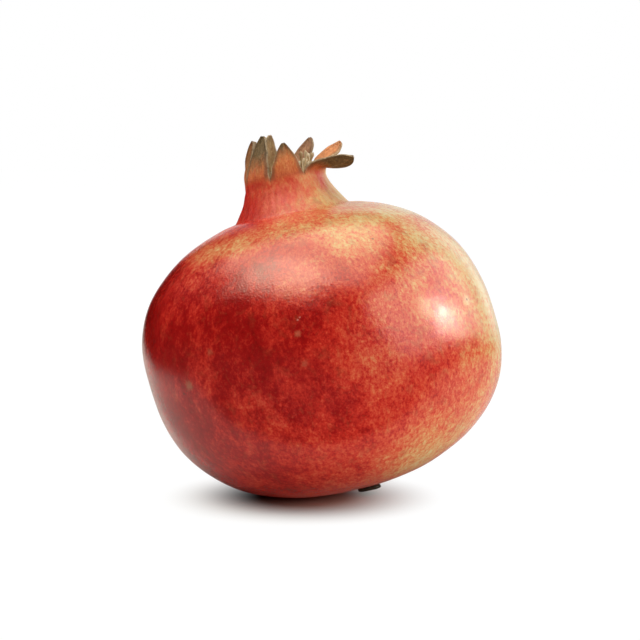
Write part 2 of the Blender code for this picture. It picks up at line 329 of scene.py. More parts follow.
def grow_sepals(bm, layers):
    """Extrude each sector of the rim upwards, level by level, into a sepal."""
    flat = [face for face in bm.faces if min(vert.co.z for vert in face.verts) > RIM_HEIGHT - 0.00001]
    middle = RIM_RADIUS - WALL / 2.0
    sectors = [[] for _ in range(SEPALS)]
    for face in flat:
        away = (azimuth_of(face.calc_center_median()) - FIRST_SEPAL) / SECTOR
        sectors[round(away) % SEPALS].append(face)
    for index, faces in enumerate(sectors):
        azimuth = FIRST_SEPAL + index * SECTOR
        for level in range(1, SEPAL_LEVELS + 1):
            along = math.sin(0.5 * math.pi * level / SEPAL_LEVELS)
            made = sepal_frame(index, along)
            edges = list(dict.fromkeys(edge for face in faces for edge in face.edges))
            verts = list(dict.fromkeys(vert for face in faces for vert in face.verts))
            grown = bmesh.ops.extrude_face_region(bm, geom=faces + edges + verts)["geom"]
            faces = [part for part in grown if isinstance(part, bmesh.types.BMFace)]
            for vert in [part for part in grown if isinstance(part, bmesh.types.BMVert)]:
                if level == 1:
                    away = math.remainder(azimuth_of(vert.co) - azimuth, 2.0 * math.pi)
                    vert[layers["across"]] = away / (SECTOR / 2.0)
                    vert[layers["side"]] = (vert.co.xy.length - middle) / (WALL / 2.0)
                    vert[layers["dry"]], vert[layers["start"]], vert[layers["warm"]] = SEPAL_LOOKS[index]
                vert[layers["along"]] = along
                vert.co = sepal_point(index, vert[layers["across"]], along, vert[layers["side"]], made)


# Relief of the skin: swellings by size and depth, then the crease, shoulder and wrinkles at the neck's foot
SWELL = ((0.019, 0.00030), (0.008, 0.00010))
CREASE_PLACE = 0.0004
CREASE_DEPTH = 0.00005
CREASE_WIDTH = 0.0010
SHOULDER_PLACE = 0.0028
SHOULDER_WIDTH = 0.0018
SHOULDER_LIFT = 0.00010
WRINKLE_SIZE = 0.00052
WRINKLE_REACH = 0.0022
WRINKLE_DEPTH = 0.00010
NECK_RELIEF_REACHED = 0.3
NECK_FOLD = 0.00026
NECK_FIBRE = 0.00006
FIBRES = 34


def skin_relief(point, azimuth, radius):
    """How far the skin stands out from the plain turned shape."""
    relief = sum(depth * noise.noise(point / size) for size, depth in SWELL)
    if point.z < 0.5 * BODY_HALF_HEIGHT:
        return relief
    turning = outward(azimuth)
    past_foot = radius - NECK_FOOT_RADIUS if point.z <= FOOT_HEIGHT else FOOT_HEIGHT - point.z
    broken = 0.75 + 0.5 * noise.noise(turning * 2.3)
    relief -= CREASE_DEPTH * broken * bell(past_foot - CREASE_PLACE, CREASE_WIDTH)
    relief += SHOULDER_LIFT * bell(past_foot - SHOULDER_PLACE, SHOULDER_WIDTH)
    wrinkle = math.sin(past_foot / WRINKLE_SIZE + 3.0 * noise.noise(turning * 1.7))
    here = max(0.0, noise.noise(turning * 4.0) + 0.35)
    relief += WRINKLE_DEPTH * wrinkle * bell(past_foot, WRINKLE_REACH) * here
    if point.z > FOOT_HEIGHT:
        rise = (point.z - FOOT_HEIGHT) / (RIM_HEIGHT - FOOT_HEIGHT)
        fold = noise.noise(turning * 2.1 + Vector((0.0, 0.0, rise * 1.2)))
        drift = noise.noise(turning * 3.0 + Vector((0.0, 0.0, rise * 2.0)))
        fibre = math.cos(FIBRES * azimuth + 4.0 * drift)
        relief += (NECK_FOLD * fold + NECK_FIBRE * fibre) * smooth_step(rise / NECK_RELIEF_REACHED)
    return relief


def shape_body(bm, layers):
    """Give the turned skin its broad lobes, slight skew, swellings, crease and folds."""
    bm.normal_update()
    moves = []
    for vert in bm.verts:
        radius = vert.co.xy.length
        if vert[layers["along"]] > 0.0 or radius < 0.0001:
            continue
        azimuth = azimuth_of(vert.co)
        outer = radius > RIM_RADIUS - 0.2 * WALL or vert.co.z < CUP_FLOOR - 0.0001
        near_rim = smooth_step((RIM_HEIGHT - vert.co.z) / 0.002)
        move = vert.normal * (skin_relief(vert.co, azimuth, radius) * near_rim) if outer else Vector()
        if vert.co.z <= BODY_HALF_HEIGHT - 0.0012:
            fullness = (radius / BODY_RADIUS) ** 2
            lobe = LOBE_DEPTH * fullness * math.cos(LOBES * (azimuth - LOBE_PHASE))
            move += Vector((vert.co.x * lobe, vert.co.y * lobe, 0.0))
            move.x -= BODY_SKEW * math.sin(math.pi * vert.co.z / BODY_HALF_HEIGHT) * fullness
        moves.append((vert, move))
    for vert, move in moves:
        vert.co += move


# Gold that comes with height: a ring round the neck's foot, the neck and its top
RING_GOLD = 0.30
RING_START = 0.0290
RING_WIDTH = 0.0050
NECK_GOLD = 0.08
NECK_GOLD_TURN = 0.28
NECK_TOP_GOLD = 0.10
NECK_TOP_REACH = 0.004
NECK_START = 0.0035
NECK_STEP = 0.0060


def neck_share(point):
    """0 on the body and 1 on the neck, with a soft step at its foot."""
    return smooth_step((point.z - FOOT_HEIGHT + NECK_START) / NECK_STEP)


def golden(point):
    """How golden the skin is there, from the ring round the neck and the listed regions."""
    here = point.normalized()
    total = RING_GOLD * smooth_step((point.z - RING_START) / RING_WIDTH)
    total += neck_share(point) * (NECK_GOLD + NECK_GOLD_TURN * math.sin(azimuth_of(point)))
    total += NECK_TOP_GOLD * smooth_step((point.z - RIM_HEIGHT) / NECK_TOP_REACH + 1.0)
    for azimuth, latitude, spread, amount in GOLD_REGIONS:
        away = math.degrees(direction(azimuth, latitude).angle(here, 0.0))
        total += amount * bell(away, spread)
    return total


GRAIN_POWER = 0.70
GRAIN_STRETCH = 0.80


def grain_place(point):
    """Coordinates in which noise runs in streaks along the meridians, in millimetres."""
    radius = max(point.xy.length, 0.0001)
    reach = BODY_RADIUS * (radius / BODY_RADIUS) ** GRAIN_POWER
    way = outward(azimuth_of(point)) * reach
    return Vector((way.x, way.y, point.z * GRAIN_STRETCH)) * 1000.0


def set_attribute(mesh, name, kind, values):
    """Store one value for each vertex as a named attribute."""
    made = mesh.attributes.new(name, kind, "POINT")
    field = "vector" if kind == "FLOAT_VECTOR" else "value"
    made.data.foreach_set(field, np.array(values, dtype=np.float32).ravel())


REST_BLEND = 0.00012


def settle(point):
    """Keep the skin above the surface it rests on, with a soft edge round the flat spot."""
    lifted = 0.5 * (point.z + math.sqrt(point.z ** 2 + REST_BLEND ** 2))
    return Vector((point.x, point.y, lifted))


def build_skin():
    """Body, neck, cup and sepals in one mesh, with the attributes that its material reads."""
    bm = turned_skin()
    names = ("along", "across", "side", "dry", "start", "warm")
    layers = {name: bm.verts.layers.float.new("_" + name) for name in names}
    grow_sepals(bm, layers)
    shape_body(bm, layers)
    bmesh.ops.recalc_face_normals(bm, faces=bm.faces)
    bm.verts.ensure_lookup_table()
    local = [vert.co.copy() for vert in bm.verts]
    own = {name: [vert[layers[name]] for vert in bm.verts] for name in names}
    for vert in bm.verts:
        vert.co = settle(FRUIT_AXIS @ vert.co)
    for name in names:
        bm.verts.layers.float.remove(bm.verts.layers.float["_" + name])
    mesh = bpy.data.meshes.new("pomegranate_skin")
    bm.to_mesh(mesh)
    bm.free()
    inner = []
    for point, along, side in zip(local, own["along"], own["side"]):
        if along > 0.0:
            inner.append(smooth_step(0.5 - 0.5 * side))
        else:
            deep = point.z > CUP_FLOOR - 0.0002 and point.xy.length < RIM_RADIUS - 0.9 * WALL
            inner.append(1.0 if deep else 0.0)
    set_attribute(mesh, "place", "FLOAT_VECTOR", [point * 1000.0 for point in local])
    set_attribute(mesh, "grain", "FLOAT_VECTOR", [grain_place(point) for point in local])
    set_attribute(mesh, "gold", "FLOAT", [golden(point) for point in local])
    set_attribute(mesh, "neck", "FLOAT", [neck_share(point) for point in local])
    set_attribute(mesh, "inner", "FLOAT", inner)
    set_attribute(mesh, "margin", "FLOAT", [abs(value) for value in own["across"]])
    for name in ("along", "dry", "start", "warm"):
        set_attribute(mesh, name, "FLOAT", own[name])
    mesh.shade_smooth()
    return mesh


class Graph:
    """Short calls that add and join a material's nodes."""

    def __init__(self, name):
        self.material = bpy.data.materials.new(name)
        self.material.use_nodes = True
        self.nodes = self.material.node_tree.nodes
        self.links = self.material.node_tree.links
        self.shader = self.nodes["Principled BSDF"]

    def put(self, socket, value):
        """Link a socket, or set a constant."""
        if isinstance(value, bpy.types.NodeSocket):
            self.links.new(value, socket)
        else:
            socket.default_value = value

    def attribute(self, name, output="Fac"):
        """A mesh attribute."""
        node = self.nodes.new("ShaderNodeAttribute")
        node.attribute_name = name
        return node.outputs[output]

    def math(self, operation, a, b=0.0, clamp=False):
        """One sum."""
        node = self.nodes.new("ShaderNodeMath")
        node.operation = operation
        node.use_clamp = clamp
        self.put(node.inputs[0], a)
        self.put(node.inputs[1], b)
        return node.outputs[0]

    def noise(self, place, scale, detail=2.0, roughness=0.5, distortion=0.0):
        """Smooth noise, centred on 0.5."""
        node = self.nodes.new("ShaderNodeTexNoise")
        self.put(node.inputs["Vector"], place)
        self.put(node.inputs["Scale"], scale)
        self.put(node.inputs["Detail"], detail)
        self.put(node.inputs["Roughness"], roughness)
        self.put(node.inputs["Distortion"], distortion)
        return node.outputs["Fac"]

    def span(self, value, low, high, to_low=0.0, to_high=1.0):
        """Move a value smoothly from one span to another, with its ends held."""
        node = self.nodes.new("ShaderNodeMapRange")
        node.interpolation_type = "SMOOTHSTEP"
        self.put(node.inputs["Value"], value)
        for name, number in zip(("From Min", "From Max", "To Min", "To Max"), (low, high, to_low, to_high)):
            self.put(node.inputs[name], number)
        return node.outputs["Result"]

    def distance(self, place, point):
        """Distance to a fixed point."""
        node = self.nodes.new("ShaderNodeVectorMath")
        node.operation = "DISTANCE"
        self.put(node.inputs[0], place)
        self.put(node.inputs[1], point)
        return node.outputs["Value"]

    def ramp(self, factor, stops):
        """Colours along a line."""
        node = self.nodes.new("ShaderNodeValToRGB")
        line = node.color_ramp
        while len(line.elements) < len(stops):
            line.elements.new(0.5)
        for element, (place, colour) in zip(line.elements, stops):
            element.position = place
            element.color = (*colour, 1.0)
        self.put(node.inputs["Fac"], factor)
        return node.outputs["Color"]

    def mix(self, factor, a, b, blend="MIX"):
        """Mix two colours."""
        node = self.nodes.new("ShaderNodeMix")
        node.data_type = "RGBA"
        node.blend_type = blend
        sockets = [socket for socket in node.inputs if socket.enabled]
        self.put(sockets[0], factor)
        for socket, value in zip(sockets[1:], (a, b)):
            self.put(socket, value if isinstance(value, bpy.types.NodeSocket) else (*value, 1.0))
        return node.outputs["Result"] if node.outputs["Result"].enabled else node.outputs[2]

    def total(self, first, *pairs):
        """first + amount * (value - 0.5) for each pair."""
        result = first
        for value, amount in pairs:
            shifted = self.math("SUBTRACT", value, 0.5)
            result = self.math("ADD", result, self.math("MULTIPLY", shifted, amount))
        return result

    def bump(self, height, distance, normal=None):
        """Fine relief, with its depth in metres."""
        node = self.nodes.new("ShaderNodeBump")
        self.put(node.inputs["Height"], height)
        node.inputs["Distance"].default_value = distance
        node.inputs["Strength"].default_value = 1.0
        if normal is not None:
            self.put(node.inputs["Normal"], normal)
        return node.outputs["Normal"]


SKIN_COLOURS = (
    (0.00, (0.215, 0.0034, 0.0030)),
    (0.20, (0.335, 0.0056, 0.0048)),
    (0.36, (0.560, 0.0250, 0.0140)),
    (0.52, (0.660, 0.0850, 0.0360)),
    (0.70, (0.690, 0.2300, 0.0820)),
    (0.86, (0.710, 0.4300, 0.1600)),
    (1.00, (0.700, 0.5600, 0.2700)),
)
OLIVE = (0.300, 0.090, 0.034)
PALE = (0.660, 0.300, 0.130)

# Noise in the skin: waves a millimetre, detail, roughness, distortion
BLOTCH_NOISE = (0.085, 3.0, 0.55)
PATCH_NOISE = (0.22, 3.0, 0.60, 0.6)
MOTTLE_NOISE = (0.95, 3.0, 0.65)
FLECK_NOISE = (2.1, 3.0, 0.70)
OLIVE_NOISE = (0.30, 4.0, 0.6, 0.8)
PALE_NOISE = (1.45, 3.0, 0.7)
TORN_NOISE = (1.8, 2.0)
FIBRE_NOISE = (1.2, 4.0, 0.65)
EDGE_NOISE = (1.3, 3.0)
BROAD_SHINE_NOISE = (0.35, 3.0)
FINE_SHINE_NOISE = (2.4, 2.0)
LEATHER_NOISE = (0.50, 2.0, 0.5)
GRAIN_NOISE = (1.9, 2.0, 0.6)
RIB_NOISE = (1.1, 4.0, 0.7)

# How ripe the plain skin is, and how much each noise changes that
RIPE_START = 0.16
BLOTCH_AMOUNT = 0.40
PATCH_AMOUNT = 0.48
MOTTLE_AMOUNT = 0.95
FLECK_AMOUNT = 0.70
CALM_GRAIN = 0.52
NECK_GRAIN = 0.55

# Colours of the sepals: outside while fresh and once dried, inside by warmth, and their dry borders
FRESH_TONES = ((0.0, (0.38, 0.020, 0.012)), (0.5, (0.60, 0.140, 0.035)), (1.0, (0.78, 0.36, 0.10)))
DRIED_TONES = ((0.0, (0.026, 0.017, 0.007)), (0.5, (0.125, 0.076, 0.026)), (1.0, (0.34, 0.205, 0.085)))
INNER_TONES = ((0.0, (0.66, 0.48, 0.23)), (0.55, (0.46, 0.22, 0.105)), (1.0, (0.72, 0.27, 0.085)))
INNER_SHADES = ((0.0, (0.60, 0.36, 0.34)), (0.5, (0.95, 0.92, 0.92)), (1.0, (1.22, 1.34, 1.34)))
EDGE_TONES = ((0.3, (0.20, 0.13, 0.06)), (0.65, (0.56, 0.42, 0.24)))
SHRUNK_TIP = (0.14, 0.09, 0.045)
DRIED_MARGIN = (0.085, 0.050, 0.022)
DRYING_REACH = 0.52

# Gloss and fine relief
SKIN_ROUGHNESS = 0.18
SHINE_CHANGE = 0.12
BLADE_ROUGHER = 0.34
INNER_ROUGHER = 0.38
NECK_ROUGHER = 0.14
SKIN_SHEEN = 0.50
NECK_SHEEN = 0.28
LEATHER_DEPTH = 0.00004
GRAIN_DEPTH = 0.00006
RIB_RELIEF = 0.00035

# Marks on the skin, and one painted highlight: place in millimetres in the fruit's own frame, inner and
# outer radius, colour, strength
MARKS_AND_PAINTED_HIGHLIGHT = (
    ((41.6, -25.6, 6.4), 0.3, 2.2, (0.86, 0.62, 0.34), 0.60),
    ((41.6, -25.6, 6.4), 0.15, 0.45, (0.10, 0.03, 0.012), 0.95),
    # Pale patch painted where the bulb's reflection sits: a painted highlight, not a mark of the skin
    # itself
    ((34.9, -34.8, 5.3), 0.6, 2.8, (0.86, 0.70, 0.48), 0.55),
    ((35.2, -34.3, 7.0), 0.10, 0.45, (0.22, 0.09, 0.04), 0.85),
    ((33.9, -35.8, 5.1), 0.10, 0.40, (0.22, 0.09, 0.04), 0.80),
    ((35.7, -34.2, 4.1), 0.10, 0.45, (0.22, 0.09, 0.04), 0.80),
    ((34.0, -35.8, 3.2), 0.10, 0.35, (0.22, 0.09, 0.04), 0.75),
    ((20.3, -32.8, 27.7), 0.10, 0.45, (0.09, 0.03, 0.012), 0.90),
    ((-35.1, -35.3, -0.2), 0.4, 2.0, (0.34, 0.17, 0.08), 0.45),
    ((-37.1, -32.8, -2.2), 0.15, 0.55, (0.05, 0.02, 0.01), 0.85),
    ((-36.2, -33.8, -1.6), 0.10, 0.45, (0.05, 0.02, 0.01), 0.80),
    ((-2.4, -48.1, 12.0), 0.05, 0.42, (0.85, 0.52, 0.42), 0.42),
    ((-3.0, -48.2, 11.5), 0.05, 0.40, (0.85, 0.52, 0.42), 0.38),
    ((-3.8, -49.0, 8.0), 0.2, 1.3, (0.62, 0.22, 0.10), 0.38),
    ((-3.5, -49.3, 0.1), 0.2, 1.3, (0.50, 0.14, 0.07), 0.35),
    ((-27.5, -40.6, 7.6), 0.2, 1.4, (0.46, 0.16, 0.07), 0.32),
)


def body_colour(g, place, grain, neck, patch, mottle):
    """Crimson to gold by ripeness, with olive tones, pale flecks, marks and a painted highlight."""
    gold = g.attribute("gold")
    blotch = g.noise(place, *BLOTCH_NOISE)
    fleck = g.noise(grain, *FLECK_NOISE)
    lively = g.span(gold, 0.0, 0.5, CALM_GRAIN, 1.0)
    start = g.math("ADD", gold, RIPE_START)
    ripe = g.total(start, (blotch, BLOTCH_AMOUNT), (patch, PATCH_AMOUNT))
    fine = g.total(0.0, (mottle, MOTTLE_AMOUNT), (fleck, FLECK_AMOUNT))
    fine = g.math("MULTIPLY", fine, g.span(neck, 0.0, 1.0, 1.0, NECK_GRAIN))
    ripe = g.math("ADD", ripe, g.math("MULTIPLY", fine, lively), clamp=True)
    colour = g.ramp(ripe, SKIN_COLOURS)
    olive = g.span(g.noise(grain, *OLIVE_NOISE), 0.52, 0.70)
    colour = g.mix(g.math("MULTIPLY", olive, g.span(gold, 0.0, 0.3, 0.12, 0.30)), colour, OLIVE)
    pale = g.span(g.noise(grain, *PALE_NOISE), 0.54, 0.72)
    colour = g.mix(g.math("MULTIPLY", pale, g.span(gold, 0.0, 0.5, 0.04, 0.28)), colour, PALE)
    torn = g.noise(place, *TORN_NOISE)
    # Skin marks, and the painted highlight under the bulb's reflection, mixed in one by one
    for point, inner_radius, outer_radius, tint, strength in MARKS_AND_PAINTED_HIGHLIGHT:
        away = g.total(g.distance(place, point), (torn, 0.9 * outer_radius))
        colour = g.mix(g.span(away, inner_radius, outer_radius, strength, 0.0), colour, tint)
    return colour


def outer_face_colour(g, along, dry, fibre, patch, mottle):
    """Outer face of the sepals: warm and leathery, dried brown from some height up."""
    start = g.attribute("start")
    warming = g.span(along, 0.05, 0.55, 0.38, 0.64)
    fresh = g.ramp(g.total(warming, (fibre, 0.9), (mottle, 0.5)), FRESH_TONES)
    brown = g.ramp(g.total(0.5, (fibre, 1.1)), DRIED_TONES)
    height = g.total(along, (patch, 0.40), (mottle, 0.30))
    drying = g.span(height, start, g.math("ADD", start, DRYING_REACH))
    return g.mix(g.math("MULTIPLY", drying, dry), fresh, brown)


def inner_face_colour(g, along, dry, fibre, mottle):
    """Inner face of the sepals: straw to orange, browner where the tip has shrunk."""
    tone = g.ramp(g.attribute("warm"), INNER_TONES)
    shade = g.ramp(g.total(0.5, (fibre, 1.5), (mottle, 0.7)), INNER_SHADES)
    colour = g.mix(1.0, tone, shade, "MULTIPLY")
    shrunk = g.math("MULTIPLY", g.span(along, 0.70, 1.0), g.math("MULTIPLY", dry, 0.6))
    return g.mix(shrunk, colour, SHRUNK_TIP)


def skin_material():
    """Mottled skin, fibrous neck and leathery sepals that dry towards their tips."""
    g = Graph("pomegranate_skin")
    place = g.attribute("place", "Vector")
    grain = g.attribute("grain", "Vector")
    neck = g.attribute("neck")
    inner = g.attribute("inner")
    along = g.attribute("along")
    margin = g.attribute("margin")
    dry = g.attribute("dry")
    patch = g.noise(grain, *PATCH_NOISE)
    mottle = g.noise(grain, *MOTTLE_NOISE)
    fibre = g.noise(grain, *FIBRE_NOISE)
    blade = g.span(along, 0.02, 0.20)

    colour = body_colour(g, place, grain, neck, patch, mottle)
    colour = g.mix(blade, colour, outer_face_colour(g, along, dry, fibre, patch, mottle))
    colour = g.mix(inner, colour, inner_face_colour(g, along, dry, fibre, mottle))
    dry_blade = g.math("MULTIPLY", blade, g.math("MULTIPLY", dry, 0.6))
    colour = g.mix(g.math("MULTIPLY", g.span(margin, 0.62, 0.84), dry_blade), colour, DRIED_MARGIN)
    edge = g.math("MULTIPLY", g.span(margin, 0.90, 0.97), blade)
    edge_colour = g.ramp(g.noise(place, *EDGE_NOISE), EDGE_TONES)
    colour = g.mix(g.math("MULTIPLY", edge, 0.8), colour, edge_colour)
    g.put(g.shader.inputs["Base Color"], colour)

    rough_blade = g.math("MULTIPLY", blade, BLADE_ROUGHER)
    rough_inner = g.math("MULTIPLY", inner, INNER_ROUGHER)
    rough_neck = g.math("MULTIPLY", neck, NECK_ROUGHER)
    dryness = g.math("MAXIMUM", g.math("MAXIMUM", rough_blade, rough_inner), rough_neck)
    broad = g.noise(place, *BROAD_SHINE_NOISE)
    narrow = g.noise(place, *FINE_SHINE_NOISE)
    shine = g.total(SKIN_ROUGHNESS, (broad, SHINE_CHANGE), (narrow, SHINE_CHANGE))
    g.put(g.shader.inputs["Roughness"], g.math("ADD", shine, dryness, clamp=True))
    g.put(g.shader.inputs["Specular IOR Level"], g.span(neck, 0.0, 1.0, SKIN_SHEEN, NECK_SHEEN))

    leather = g.bump(g.noise(place, *LEATHER_NOISE), LEATHER_DEPTH)
    grainy = g.bump(g.noise(place, *GRAIN_NOISE), GRAIN_DEPTH, leather)
    ribs = g.math("MAXIMUM", blade, g.math("MULTIPLY", neck, 0.5))
    ribbed = g.math("MULTIPLY", g.noise(grain, *RIB_NOISE), ribs)
    g.put(g.shader.inputs["Normal"], g.bump(ribbed, RIB_RELIEF, grainy))
    return g.material


def add_piece(name, mesh, material, node):
    """Put a piece in the scene, riding on the fruit in place of a node."""
    thing = bpy.data.objects.new(name, mesh)
    bpy.context.scene.collection.objects.link(thing)
    thing.data.materials.append(material)
    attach(thing, "root")
    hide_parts(node)


# Stamens
GAP = 0.0003
TUFT_SEED = 23
FILAMENTS = 74
FILAMENT_RADIUS = 0.00021
FILAMENT_SIDES = 6
FILAMENT_RINGS = 16
GOLDEN_ANGLE = math.pi * (3.0 - math.sqrt(5.0))
ROOTS_RADIUS = 0.0066
ROOT_RISE = 0.0002
FILAMENT_HEIGHT = 0.0078
HEIGHT_SPREAD = 0.0018
REACH = 0.0006
SWING = 0.5
WANDER = 9.0
WAVER = 0.0008
HOOK = (0.0004, 0.0013)
HOOK_START = 0.72

# The filaments that lean east, where the crown is open, are longer
EAST_TURN = math.radians(25.0)
EAST_HEIGHT = 0.0100
EAST_REACH = 0.0026

# Anthers: how much they swell, where they sit along the filament and how long they are
SWOLLEN = (1.8, 3.0)
ANTHER_PLACE = 0.92
ANTHER_LENGTH = 0.055
TIP_CLOSED = 0.45

# Pad under the filaments
PAD_RADIUS = 0.0074
PAD_UNDER = 0.72
PAD_MIDDLE = 0.0012
PAD_THICKNESS = 0.0011
PAD_LIP = 0.0022
PAD_LIP_START = 0.7
PAD_ROUGHNESS = 0.0004
PAD_RINGS = 14
PAD_STEPS = 48
PAD_TONE = 0.3


def add_tube(bm, route, radii, sides):
    """A closed tube along a route, with a radius at each point."""
    rings = []
    across = Vector((1.0, 0.0, 0.0))
    for index, (point, radius) in enumerate(zip(route, radii)):
        ahead = route[min(index + 1, len(route) - 1)] - route[max(index - 1, 0)]
        ahead.normalize()
        across = (across - ahead * across.dot(ahead)).normalized()
        other = ahead.cross(across)
        ring = []
        for side in range(sides):
            turn = 2.0 * math.pi * side / sides
            ring.append(bm.verts.new(point + (across * math.cos(turn) + other * math.sin(turn)) * radius))
        rings.append(ring)
    for low, high in zip(rings, rings[1:]):
        for side in range(sides):
            after = (side + 1) % sides
            bm.faces.new((low[side], low[after], high[after], high[side]))
    bm.faces.new(rings[0][::-1])
    bm.faces.new(rings[-1])
    return [vert for ring in rings for vert in ring]


DRIFT_SHIFTS = ((0.0, 0.0, 0.0), (31.4, 7.7, 2.1), (-13.6, 19.2, 5.8))


def drift(place):
    """A smooth random vector, the same in every run."""
    return Vector([noise.noise(place + Vector(shift)) for shift in DRIFT_SHIFTS])


def filament_route(index, draw):
    """Route of one dried filament, from the cup's floor to its curled tip."""
    share = (index + 0.5) / FILAMENTS
    azimuth = index * GOLDEN_ANGLE
    eastward = max(0.0, math.sin(azimuth + EAST_TURN)) ** 0.6 * share ** 0.6
    root = ROOTS_RADIUS * math.sqrt(share)
    height = FILAMENT_HEIGHT + EAST_HEIGHT * eastward + draw.uniform(0.0, HEIGHT_SPREAD)
    reach = root + REACH + EAST_REACH * eastward
    swing = draw.uniform(-SWING, SWING)
    wander = Vector([draw.uniform(-WANDER, WANDER) for _ in range(3)])
    hook_way = outward(draw.uniform(0.0, 2.0 * math.pi))
    hook = draw.uniform(*HOOK)
    low = CUP_FLOOR + GAP + ROOT_RISE
    route = []
    for ring in range(FILAMENT_RINGS):
        part = ring / (FILAMENT_RINGS - 1)
        turn = azimuth + swing * part ** 2
        away = root + (reach - root) * part ** 2
        bend = max(part - HOOK_START, 0.0) / (1.0 - HOOK_START)
        point = outward(turn) * away + Vector((0.0, 0.0, low + height * (part - 0.06 * bend ** 2)))
        point += drift(wander + Vector((0.0, 0.0, part * 2.6))) * (WAVER * part)
        point += hook_way * (hook * bend ** 2)
        route.append(point)
    return route


def filament_radii(draw):
    """Radius along one filament, which swells into its anther near the tip."""
    swollen = draw.uniform(*SWOLLEN)
    radii = []
    for ring in range(FILAMENT_RINGS):
        part = ring / (FILAMENT_RINGS - 1)
        anther = bell(part - ANTHER_PLACE, ANTHER_LENGTH) * swollen
        slim = 1.25 - 0.45 * part
        closed = TIP_CLOSED if ring == FILAMENT_RINGS - 1 else 1.0
        radii.append(FILAMENT_RADIUS * (slim + anther) * closed)
    return radii


def add_pad(bm):
    """The thin, rough pad with a raised lip that the filaments stand on."""
    bottom = CUP_FLOOR + GAP
    middle = bm.verts.new((0.0, 0.0, bottom + PAD_MIDDLE))
    loops = []
    for ring in range(1, PAD_RINGS + 1):
        radius = PAD_RADIUS * ring / PAD_RINGS
        lip = PAD_LIP * smooth_step((ring / PAD_RINGS - PAD_LIP_START) / (1.0 - PAD_LIP_START))
        loop = []
        for step in range(PAD_STEPS):
            way = outward(2.0 * math.pi * step / PAD_STEPS)
            height = bottom + PAD_THICKNESS + lip + PAD_ROUGHNESS * noise.noise(way * radius * 900.0)
            loop.append(bm.verts.new(way * radius + Vector((0.0, 0.0, height))))
        loops.append(loop)
    rim = loops[-1]
    under = [bm.verts.new((vert.co.x * PAD_UNDER, vert.co.y * PAD_UNDER, bottom)) for vert in rim]
    for step in range(PAD_STEPS):
        after = (step + 1) % PAD_STEPS
        bm.faces.new((middle, loops[0][step], loops[0][after]))
        for low, high in zip(loops, loops[1:]):
            bm.faces.new((low[step], high[step], high[after], low[after]))
        bm.faces.new((rim[step], under[step], under[after], rim[after]))
    bm.faces.new(under[::-1])


def build_tuft():
    """The dried stamens on their pad, in one mesh."""
    draw = random.Random(TUFT_SEED)
    bm = bmesh.new()
    looks = []
    for index in range(FILAMENTS):
        route = filament_route(index, draw)
        made = add_tube(bm, route, filament_radii(draw), FILAMENT_SIDES)
        tone = draw.random()
        looks += [(number // FILAMENT_SIDES / (FILAMENT_RINGS - 1), tone) for number in range(len(made))]
    add_pad(bm)
    looks += [(0.0, PAD_TONE)] * (len(bm.verts) - len(looks))
    bmesh.ops.recalc_face_normals(bm, faces=bm.faces)
    local = [vert.co * 1000.0 for vert in bm.verts]
    bmesh.ops.transform(bm, matrix=FRUIT_AXIS, verts=bm.verts)
    mesh = bpy.data.meshes.new("stamen_tuft")
    bm.to_mesh(mesh)
    bm.free()
    set_attribute(mesh, "place", "FLOAT_VECTOR", local)
    set_attribute(mesh, "along", "FLOAT", [along for along, _ in looks])
    set_attribute(mesh, "tone", "FLOAT", [tone for _, tone in looks])
    mesh.shade_smooth()
    return mesh


STRAW_TONES = ((0.0, (0.56, 0.38, 0.17)), (0.5, (0.86, 0.72, 0.44)), (1.0, (0.94, 0.88, 0.66)))
ANTHER_TONES = ((0.0, (0.40, 0.25, 0.11)), (1.0, (0.95, 0.85, 0.58)))
# Colour of the shade painted at the filaments' roots and over their pad
TUFT_PAINTED_SHADE = (0.06, 0.030, 0.012)


def tuft_material():
    """Dry, straw-coloured filaments with speckled anthers, and shade painted dark at their roots and over
    their pad.
    """
    g = Graph("dried_stamens")
    place = g.attribute("place", "Vector")
    along = g.attribute("along")
    tone = g.attribute("tone")
    speck = g.noise(place, 1.6, 3.0, 0.6)
    straw = g.ramp(g.total(tone, (speck, 0.7)), STRAW_TONES)
    anther = g.ramp(g.total(tone, (speck, 0.8)), ANTHER_TONES)
    colour = g.mix(g.span(along, 0.78, 0.88), straw, anther)
    # Painted shade: the filaments darken to near black towards their roots, and the pad, at along 0, is
    # painted wholly in it
    colour = g.mix(g.span(along, 0.05, 0.55, 1.0, 0.0), colour, TUFT_PAINTED_SHADE)
    g.put(g.shader.inputs["Base Color"], colour)
    g.put(g.shader.inputs["Roughness"], g.total(0.72, (speck, 0.2)))
    g.put(g.shader.inputs["Normal"], g.bump(speck, 0.00010))
    return g.material


# Stem stub
STUB_PLACE = (0.0052, -0.0030)
STUB_HALF_LENGTH = 0.0034
STUB_HALF_WIDTH = 0.0027
STUB_THICKNESS = 0.0012
STUB_SIDES = 72
STUB_RINGS = 12
STUB_WALL_ROWS = 8


def stub_centre():
    """Middle of the stub in the fruit's own frame."""
    x, y = STUB_PLACE
    distance = math.hypot(x, y) / BODY_RADIUS
    surface = BODY_HALF_HEIGHT * (1.0 - distance ** ROUNDNESS) ** (1.0 / ROUNDNESS)
    return Vector((x, y, -surface - GAP - STUB_THICKNESS / 2.0))


def stub_point(turn, share, height):
    """A point of the stub: share runs 0 to 1 from its middle to its wall, height -1 to 1."""
    way = Vector((math.cos(turn), math.sin(turn), 0.0))
    rough = noise.noise(way * 2.6 + Vector((0.0, 0.0, height * 0.8)))
    splinter = noise.noise(way * 9.0 + Vector((0.0, 0.0, height * 0.7)))
    worn = 1.0 - 0.10 * abs(height) ** 3
    reach = share * worn * (0.95 + 0.05 * rough + 0.035 * splinter)
    torn = noise.noise(Vector((way.x * share * 2.4, way.y * share * 2.4, height * 3.0)))
    lift = height * STUB_THICKNESS / 2.0 * (0.86 + 0.14 * torn * (1.0 if height < 0.0 else 0.3))
    return Vector((way.x * STUB_HALF_LENGTH * reach, way.y * STUB_HALF_WIDTH * reach, lift))


